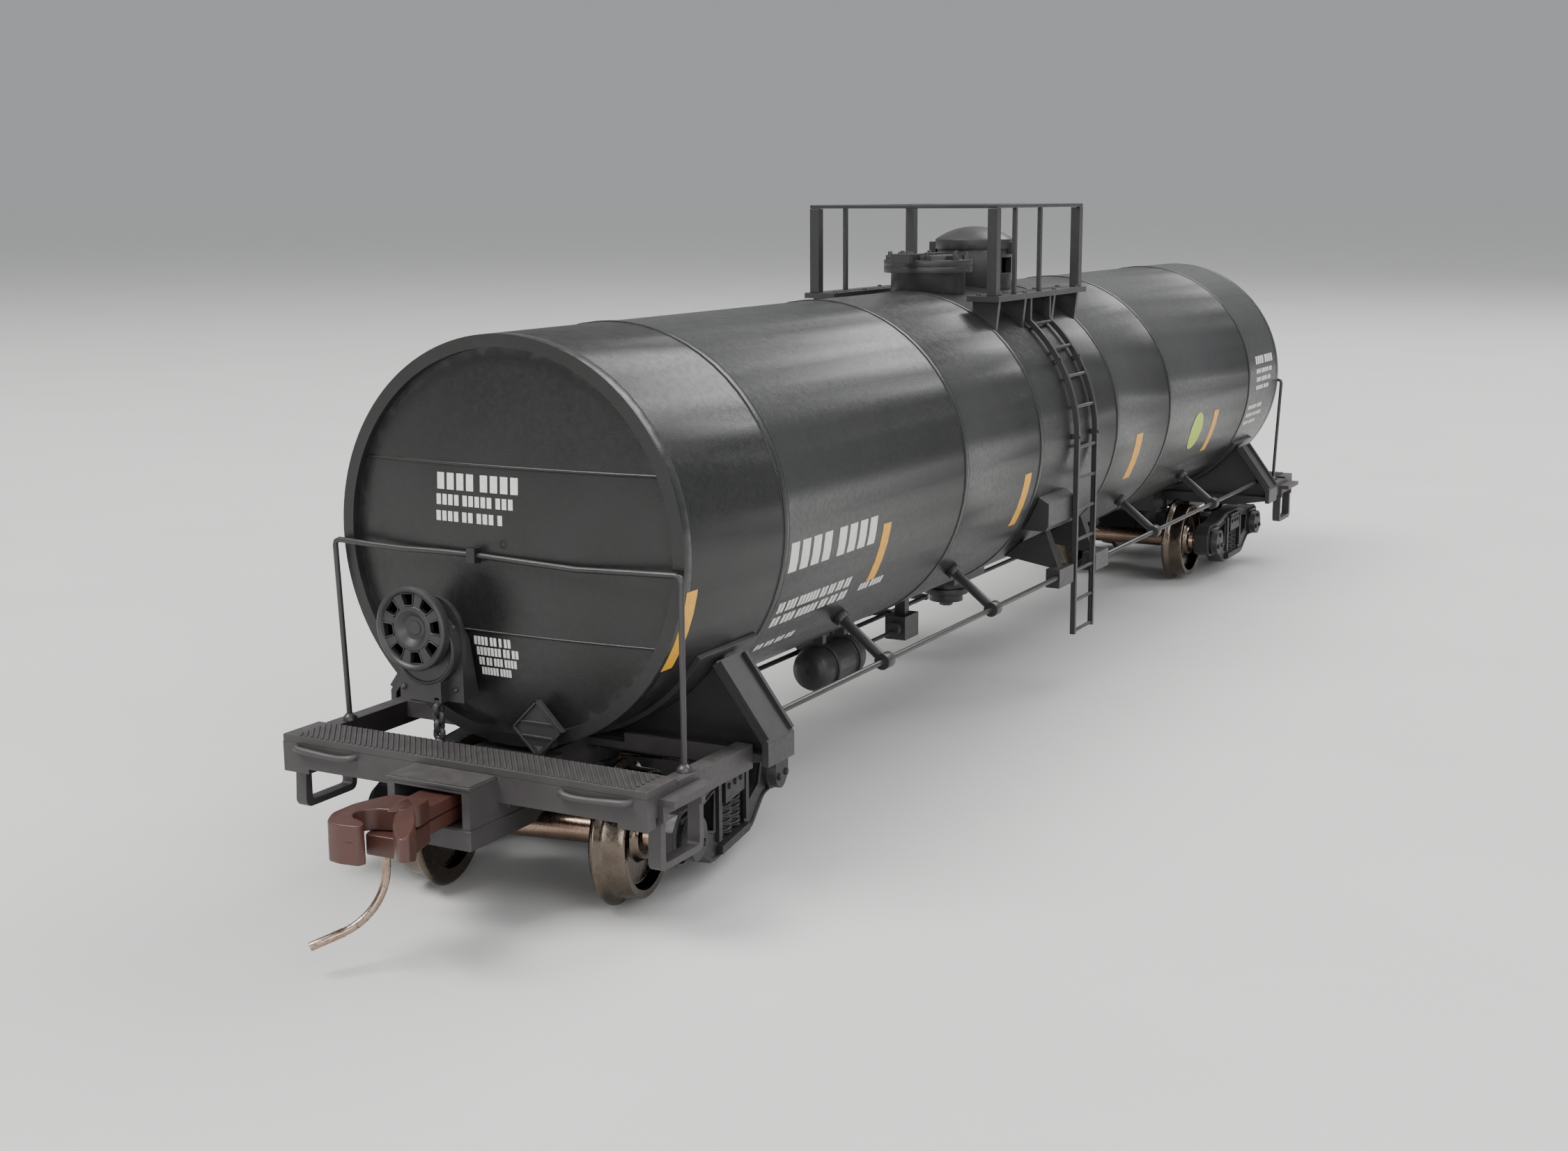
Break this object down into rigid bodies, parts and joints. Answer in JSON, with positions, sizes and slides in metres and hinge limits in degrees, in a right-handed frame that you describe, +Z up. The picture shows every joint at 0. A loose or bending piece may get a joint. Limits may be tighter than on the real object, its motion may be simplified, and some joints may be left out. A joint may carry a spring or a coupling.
{
  "type": "model tank wagon",
  "caption": "HO-scale tank wagon: black cylindrical tank on two swivelling trucks, with end platforms, hand-brake wheel, side ladders, top railing cage and hooked knuckle couplers.",
  "frame": {"origin": "on the rail-top plane under the middle of the wagon, at the centre of the overall box", "axes": "+X along the wagon towards the end without the brake wheel, +Y to the left looking along +X, +Z up from the wheel flanges' lowest points"},
  "size_m": [0.218, 0.0382, 0.0545],
  "materials": {
    "tank_black": "satin painted plastic with fine speckle",
    "frame_plastic": "semi-matte charcoal plastic",
    "detail_plastic": "satin dark grey plastic",
    "truck_plastic": "satin black plastic",
    "coupler_plastic": "satin reddish brown moulding",
    "pin_metal": "bare bronze-tinted wire",
    "wheel_metal": "blackened metal with a brown sheen",
    "axle_metal": "turned metal with coppery tint",
    "screw_steel": "zinc-plated screw",
    "ballast_steel": "plain steel bar",
    "wire_painted": "dark painted wire",
    "marking_yellow": "printed amber yellow",
    "marking_lime": "printed lime patch",
    "marking_white": "printed white"
  },
  "bodies": {
    "car_body": {"tank_barrel": "tank_black", "tank_head_b": "tank_black", "tank_head_a": "tank_black", "ballast_bar": "ballast_steel", "end_frame_b": "frame_plastic", "end_frame_a": "frame_plastic", "walkway_b": "frame_plastic", "walkway_a": "frame_plastic", "saddle_b": "detail_plastic", "saddle_a": "detail_plastic", "draft_lid_b": "frame_plastic", "draft_lid_a": "frame_plastic", "draft_screws": "screw_steel", "truck_screws": "screw_steel", "handrail_b": "wire_painted", "handrail_a": "wire_painted", "brake_housing": "detail_plastic", "brake_chain": "detail_plastic", "placard_b": "detail_plastic", "placard_a": "detail_plastic", "stirrups_b": "frame_plastic", "stirrups_a": "frame_plastic", "grab_irons": "frame_plastic", "side_rods": "wire_painted", "rod_arms": "detail_plastic", "ladder_left": "detail_plastic", "ladder_right": "detail_plastic", "ladder_feet": "detail_plastic", "top_platform": "detail_plastic", "railing_posts": "detail_plastic", "top_rail": "detail_plastic", "manway_nozzle": "detail_plastic", "manway_cover": "detail_plastic", "manway_bolts": "detail_plastic", "valve_housing": "detail_plastic", "valve_lid": "detail_plastic", "relief_valve": "detail_plastic", "outlet_saddle": "detail_plastic", "outlet_cap": "detail_plastic", "air_reservoir": "detail_plastic", "brake_cylinder": "detail_plastic", "control_valve": "detail_plastic", "brake_rods": "detail_plastic"},
    "brake_wheel": {"brake_wheel": "detail_plastic"},
    "coupler_b": {"coupler_b_guard": "coupler_plastic", "trip_pin_b": "pin_metal"},
    "knuckle_b": {"coupler_b_knuckle": "coupler_plastic"},
    "coupler_a": {"coupler_a_guard": "coupler_plastic", "trip_pin_a": "pin_metal"},
    "knuckle_a": {"coupler_a_knuckle": "coupler_plastic"},
    "truck_b": {"truck_frame_b": "truck_plastic"},
    "truck_a": {"truck_frame_a": "truck_plastic"},
    "wheelset_b_outer": {"axle_b_outer": "axle_metal", "wheels_b_outer": "wheel_metal"},
    "wheelset_b_inner": {"axle_b_inner": "axle_metal", "wheels_b_inner": "wheel_metal"},
    "wheelset_a_outer": {"axle_a_outer": "axle_metal", "wheels_a_outer": "wheel_metal"},
    "wheelset_a_inner": {"axle_a_inner": "axle_metal", "wheels_a_inner": "wheel_metal"}
  },
  "joints": [
    {"name": "brake_wheel_spin", "type": "hinge", "parent": "car_body", "child": "brake_wheel", "pos_m": [-0.0911, 0.0061, 0.022], "axis": [1, 0, 0], "continuous": true},
    {"name": "truck_b_swivel", "type": "hinge", "parent": "car_body", "child": "truck_b", "pos_m": [-0.0763, 0, 0.0088], "axis": [0, 0, 1], "range_deg": [-21, 1]},
    {"name": "truck_a_swivel", "type": "hinge", "parent": "car_body", "child": "truck_a", "pos_m": [0.0763, 0, 0.0088], "axis": [0, 0, 1], "range_deg": [-11, 11]},
    {"name": "coupler_b_swing", "type": "hinge", "parent": "car_body", "child": "coupler_b", "pos_m": [-0.091, 0, 0.01], "axis": [0, 0, 1], "range_deg": [-16, 6]},
    {"name": "knuckle_b_open", "type": "hinge", "parent": "coupler_b", "child": "knuckle_b", "pos_m": [-0.091, 0, 0.0105], "axis": [0, 0, -1], "range_deg": [0, 5], "stiffness_Nm_per_rad": 0.002},
    {"name": "wheelset_b_outer_roll", "type": "hinge", "parent": "truck_b", "child": "wheelset_b_outer", "pos_m": [-0.08635, -0.00177, 0.00588], "axis": [-0.1736, 0.9848, 0], "continuous": true},
    {"name": "wheelset_b_inner_roll", "type": "hinge", "parent": "truck_b", "child": "wheelset_b_inner", "pos_m": [-0.06625, 0.00177, 0.00588], "axis": [-0.1736, 0.9848, 0], "continuous": true},
    {"name": "coupler_a_swing", "type": "hinge", "parent": "car_body", "child": "coupler_a", "pos_m": [0.091, 0, 0.01], "axis": [0, 0, 1], "range_deg": [-16, 6]},
    {"name": "knuckle_a_open", "type": "hinge", "parent": "coupler_a", "child": "knuckle_a", "pos_m": [0.091, 0, 0.0105], "axis": [0, 0, -1], "range_deg": [0, 5], "stiffness_Nm_per_rad": 0.002},
    {"name": "wheelset_a_outer_roll", "type": "hinge", "parent": "truck_a", "child": "wheelset_a_outer", "pos_m": [0.0865, 0, 0.00588], "axis": [0, 1, 0], "continuous": true},
    {"name": "wheelset_a_inner_roll", "type": "hinge", "parent": "truck_a", "child": "wheelset_a_inner", "pos_m": [0.0661, 0, 0.00588], "axis": [0, 1, 0], "continuous": true}
  ]
}
